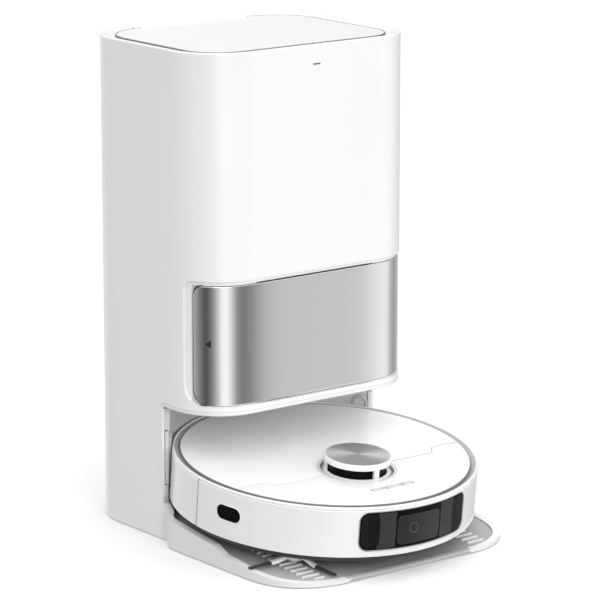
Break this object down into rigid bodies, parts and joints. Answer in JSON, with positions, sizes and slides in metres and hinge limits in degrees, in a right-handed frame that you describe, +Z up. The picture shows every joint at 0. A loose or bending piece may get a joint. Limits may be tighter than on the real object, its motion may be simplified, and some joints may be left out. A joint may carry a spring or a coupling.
{
  "type": "robot vacuum",
  "caption": "Round robot vacuum with spinning mop pads, parked nose-down on the ramp of a tall white self-emptying and mop-washing dock with a metal dust door.",
  "frame": {"origin": "middle of the whole object's footprint, on the floor", "axes": "+Z up, -Y is the front where the robot drives out, X runs across the dock"},
  "size_m": [0.35, 0.4435, 0.568],
  "materials": {
    "white_gloss": "gloss",
    "white_satin": "satin",
    "light_grey": "matte",
    "grey_trim": "satin",
    "dark_plastic": "matte",
    "black_gloss": "gloss",
    "door_metal": "brushed",
    "cap_metal": "spun",
    "steel": "polished",
    "contact_metal": "polished",
    "soft_rubber": "matte",
    "dark_rubber": "matte",
    "tyre": "matte",
    "clean_tank": "translucent",
    "used_tank": "translucent",
    "bag_fabric": "non-woven",
    "mop_fabric": "looped microfibre",
    "detergent": "translucent",
    "circuit": "matte",
    "battery_wrap": "satin",
    "motor_case": "satin",
    "light_lens": "gloss",
    "brush_bristle": "matte",
    "bin_plastic": "translucent"
  },
  "bodies": {
    "dock": {"dock_shell": "white_gloss", "lid_hinge_pins": "steel", "rear_cover": "white_satin", "case_screws": "steel", "mains_inlet": "dark_plastic", "status_light": "light_lens", "rubber_feet": "dark_rubber", "bay_liner": "light_grey", "dust_port_seals": "soft_rubber", "base_tray": "white_satin", "ramp_plate": "light_grey", "washboard": "light_grey", "tank_deck": "white_satin", "clean_water_tank": "clean_tank", "used_water_tank": "used_tank", "tank_caps": "grey_trim", "tank_handles": "grey_trim", "dust_chamber": "light_grey", "dust_bag": "bag_fabric", "detergent_cartridge": "detergent", "suction_motor": "motor_case", "dust_duct": "light_grey", "water_pumps": "motor_case", "control_board": "circuit", "power_supply": "dark_plastic"},
    "lid": {"tank_lid": "white_gloss"},
    "dust_door": {"dust_door_panel": "door_metal", "dust_door_frame": "dark_plastic"},
    "charge_contacts": {"charge_contacts": "contact_metal"},
    "robot": {"robot_chassis": "dark_plastic", "rear_shell": "white_gloss", "top_ring": "grey_trim", "front_deck": "white_gloss", "lidar_housing": "white_gloss", "lidar_cap": "cap_metal", "dust_bin": "bin_plastic", "battery": "battery_wrap", "suction_fan": "motor_case", "robot_board": "circuit", "brush_guard": "light_grey"},
    "top_cover": {"top_cover": "white_gloss"},
    "bumper": {"bumper": "white_gloss", "sensor_windows": "black_gloss"},
    "lidar_rotor": {"lidar_rotor": "black_gloss"},
    "left_button": {"left_button": "light_grey"},
    "power_button": {"power_button": "light_grey"},
    "right_button": {"right_button": "light_grey"},
    "left_suspension": {"left_suspension_arm": "dark_plastic"},
    "right_suspension": {"right_suspension_arm": "dark_plastic"},
    "left_wheel": {"left_drive_wheel": "tyre"},
    "right_wheel": {"right_drive_wheel": "tyre"},
    "caster": {"caster_fork": "dark_plastic"},
    "caster_wheel": {"caster_wheel": "light_grey"},
    "main_brush": {"main_brush": "brush_bristle"},
    "side_brush": {"side_brush": "brush_bristle"},
    "mop_lift": {"mop_gearbox": "dark_plastic"},
    "left_mop": {"left_mop_disc": "light_grey", "left_mop_pad": "mop_fabric"},
    "right_mop": {"right_mop_disc": "light_grey", "right_mop_pad": "mop_fabric"}
  },
  "joints": [
    {"name": "lid_hinge", "type": "hinge", "parent": "dock", "child": "lid", "pos_m": [0, 0.2011, 0.5667], "axis": [-1, 0, 0], "range_deg": [0, 92]},
    {"name": "dust_door_pull", "type": "slide", "parent": "dock", "child": "dust_door", "axis": [0, -1, 0], "range_m": [0, 0.12]},
    {"name": "contact_press", "type": "slide", "parent": "dock", "child": "charge_contacts", "axis": [0, 0.9948, 0.1021], "range_m": [0, 0.002], "stiffness_N_per_m": 400},
    {"name": "undock", "type": "slide", "parent": "dock", "child": "robot", "axis": [0, -1, 0], "range_m": [0, 0.4]},
    {"name": "top_cover_lift", "type": "slide", "parent": "robot", "child": "top_cover", "axis": [0, -0.1021, 0.9948], "range_m": [0, 0.025]},
    {"name": "bumper_press", "type": "slide", "parent": "robot", "child": "bumper", "axis": [0, 0.9948, 0.1021], "range_m": [0, 0.002], "stiffness_N_per_m": 900},
    {"name": "lidar_spin", "type": "hinge", "parent": "robot", "child": "lidar_rotor", "pos_m": [0, -0.1054, 0.09408], "axis": [0, -0.1021, 0.9948], "continuous": true},
    {"name": "left_button_press", "type": "slide", "parent": "robot", "child": "left_button", "axis": [0, 0.1021, -0.9948], "range_m": [0, 0.0006], "stiffness_N_per_m": 400},
    {"name": "power_button_press", "type": "slide", "parent": "robot", "child": "power_button", "axis": [0, 0.1021, -0.9948], "range_m": [0, 0.0006], "stiffness_N_per_m": 400},
    {"name": "right_button_press", "type": "slide", "parent": "robot", "child": "right_button", "axis": [0, 0.1021, -0.9948], "range_m": [0, 0.0006], "stiffness_N_per_m": 400},
    {"name": "left_suspension_swing", "type": "hinge", "parent": "robot", "child": "left_suspension", "pos_m": [-0.096, -0.00321, 0.05832], "axis": [-1, 0, 0], "range_deg": [0, 6], "stiffness_Nm_per_rad": 1.5, "springref_deg": -17.19},
    {"name": "left_wheel_spin", "type": "hinge", "parent": "left_suspension", "child": "left_wheel", "pos_m": [-0.118, -0.03782, 0.05276], "axis": [1, 0, 0], "continuous": true},
    {"name": "right_suspension_swing", "type": "hinge", "parent": "robot", "child": "right_suspension", "pos_m": [0.096, -0.00321, 0.05832], "axis": [-1, 0, 0], "range_deg": [0, 6], "stiffness_Nm_per_rad": 1.5, "springref_deg": -17.19},
    {"name": "right_wheel_spin", "type": "hinge", "parent": "right_suspension", "child": "right_wheel", "pos_m": [0.118, -0.03782, 0.05276], "axis": [1, 0, 0], "continuous": true},
    {"name": "caster_swivel", "type": "hinge", "parent": "robot", "child": "caster", "pos_m": [0, -0.17689, 0.03648], "axis": [0, -0.1021, 0.9948], "continuous": true},
    {"name": "caster_roll", "type": "hinge", "parent": "caster", "child": "caster_wheel", "pos_m": [0, -0.16717, 0.02019], "axis": [1, 0, 0], "continuous": true},
    {"name": "main_brush_spin", "type": "hinge", "parent": "robot", "child": "main_brush", "pos_m": [0, -0.07723, 0.03515], "axis": [1, 0, 0], "continuous": true},
    {"name": "side_brush_spin", "type": "hinge", "parent": "robot", "child": "side_brush", "pos_m": [-0.11, -0.13309, 0.03092], "axis": [0, -0.1021, 0.9948], "continuous": true},
    {"name": "mop_lift", "type": "slide", "parent": "robot", "child": "mop_lift", "axis": [0, -0.1021, 0.9948], "range_m": [0, 0.007]},
    {"name": "left_mop_spin", "type": "hinge", "parent": "mop_lift", "child": "left_mop", "pos_m": [-0.066, 0.04699, 0.03935], "axis": [0, -0.1021, 0.9948], "continuous": true},
    {"name": "right_mop_spin", "type": "hinge", "parent": "mop_lift", "child": "right_mop", "pos_m": [0.066, 0.04699, 0.03935], "axis": [0, -0.1021, 0.9948], "continuous": true}
  ],
  "couplings": [
    {"joint": "right_mop_spin", "follows": "left_mop_spin", "ratio": -1}
  ]
}
